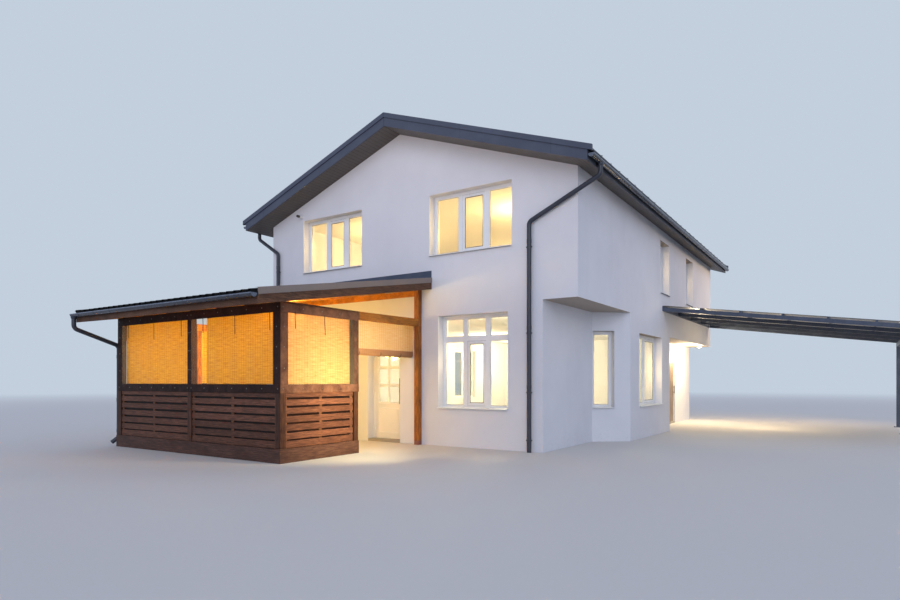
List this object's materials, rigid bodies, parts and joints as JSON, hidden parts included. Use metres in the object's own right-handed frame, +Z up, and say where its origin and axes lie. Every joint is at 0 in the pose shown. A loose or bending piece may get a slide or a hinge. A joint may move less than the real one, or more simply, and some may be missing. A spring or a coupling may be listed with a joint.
{
  "type": "detached house",
  "caption": "Two-storey rendered house with a low gable roof, a timber terrace with reed blinds, a recessed bay, a porch and a side canopy; two hinged doors.",
  "frame": {"origin": "centre of the main block's plan on the ground, at the underside of the ground slab", "axes": "+X to the right of the entrance gable, +Y towards the back, +Z up"},
  "size_m": [15.0123, 18.216, 7.38],
  "materials": {
    "render": "mineral render, off-white, slightly rough",
    "concrete": "plain concrete and screed",
    "ceiling_board": "painted plasterboard",
    "roof_metal": "dark graphite coated sheet",
    "soffit_board": "dark ribbed soffit sheet",
    "gutter_metal": "dark graphite coated steel",
    "white_frame": "white window profile",
    "sill_metal": "white coated sheet sill",
    "window_glass": "clear double glazing",
    "door_leaf_white": "white door profile",
    "door_leaf_tan": "tan coated steel door",
    "handle_steel": "satin steel bar",
    "stained_wood": "brown stained softwood",
    "rafter_wood": "brown stained rafters",
    "soft_window": "clear plastic film with a brown border",
    "reed": "split reed blind",
    "terrace_metal": "dark coated roof sheet",
    "canopy_metal": "dark grey painted steel",
    "lamp_glass": "opal lamp cover",
    "camera_plastic": "small outdoor camera",
    "footing": "cast footing"
  },
  "bodies": {
    "house": {"ground_slab": "concrete", "front_wall_left": "render", "front_wall_right": "render", "walls_over_doors": "render", "corner_recess_wall": "render", "bay_oblique_wall": "render", "bay_side_wall": "render", "bay_return_wall": "render", "porch_walls": "render", "rear_wall": "render", "porch_soffit": "render", "upper_floor_slab": "concrete", "left_wall": "render", "upper_right_wall": "render", "front_gable": "render", "rear_gable": "render", "upper_ceiling": "ceiling_board", "roof_left": "roof_metal", "roof_right": "roof_metal", "soffits": "soffit_board", "barge_boards_left": "roof_metal", "barge_boards_right": "roof_metal", "eave_fascias": "roof_metal", "ridge_cap": "roof_metal", "gutters": "gutter_metal", "downpipes": "gutter_metal", "window_frames": "white_frame", "window_glass": "window_glass", "window_sills": "sill_metal", "terrace_door_frame": "white_frame", "toplight_glass": "window_glass", "entrance_door_frame": "white_frame", "terrace_posts": "stained_wood", "wall_post_footing": "footing", "terrace_ring_beams": "stained_wood", "terrace_parapets": "stained_wood", "terrace_soft_windows": "soft_window", "terrace_reed_blinds": "reed", "entrance_blind": "reed", "terrace_rafters": "rafter_wood", "terrace_roof": "terrace_metal", "terrace_barge_boards": "stained_wood", "terrace_flashings": "terrace_metal", "canopy_roof": "canopy_metal", "canopy_purlins": "canopy_metal", "canopy_rafters": "canopy_metal", "canopy_beams": "canopy_metal", "canopy_posts": "canopy_metal", "outdoor_lamps": "lamp_glass", "wall_camera": "camera_plastic"},
    "terrace_door": {"terrace_door_leaf": "door_leaf_white", "terrace_door_glass": "window_glass", "terrace_door_handle": "handle_steel"},
    "entrance_door": {"entrance_door_leaf": "door_leaf_tan", "entrance_door_handle": "handle_steel"}
  },
  "joints": [
    {"name": "terrace_door_hinge", "type": "hinge", "parent": "house", "child": "terrace_door", "pos_m": [-0.9025, -6.162, 0], "axis": [0, 0, -1], "range_deg": [0, 90]},
    {"name": "entrance_door_hinge", "type": "hinge", "parent": "house", "child": "entrance_door", "pos_m": [3.552, 3.2125, 0], "axis": [0, 0, -1], "range_deg": [0, 90]}
  ]
}
